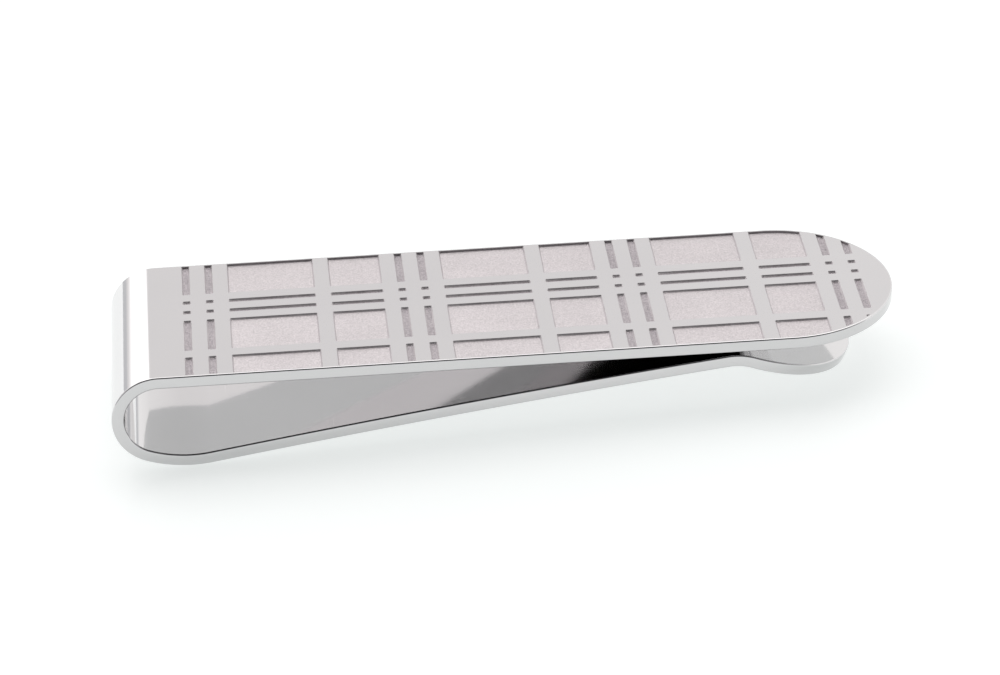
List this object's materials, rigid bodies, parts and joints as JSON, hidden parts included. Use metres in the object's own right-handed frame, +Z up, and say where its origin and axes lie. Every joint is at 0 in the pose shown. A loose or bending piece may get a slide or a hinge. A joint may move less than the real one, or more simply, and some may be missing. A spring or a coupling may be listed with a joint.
{
  "type": "money clip",
  "caption": "Spring clip for folded bank notes: one polished strip bent round a bow, with an etched plaid front plate, a spring leg and a flared thumb lip.",
  "frame": {"origin": "under the middle of the clip's overall box, on the surface it stands on, resting on its heel and the toe of its lip", "axes": "+X from the bow to the front plate's round tip, +Y across the strip, +Z up, the way the front plate faces"},
  "size_m": [0.0544, 0.016, 0.007],
  "materials": {
    "polished_steel": "mirror polished stainless steel",
    "etched_steel": "polished stainless steel with fine frosted etched panes and grooves"
  },
  "bodies": {
    "leg": {"bow_lower": "polished_steel", "heel": "polished_steel", "spring_leg": "polished_steel", "contact_ridge": "polished_steel", "thumb_lip": "polished_steel"},
    "front": {"front_plate": "etched_steel", "bow_upper": "polished_steel"}
  },
  "joints": [
    {"name": "bow_flex", "type": "hinge", "parent": "leg", "child": "front", "pos_m": [-0.02724, 0, 0.00388], "axis": [0, -1, 0], "range_deg": [0, 7], "stiffness_Nm_per_rad": 5.6}
  ]
}
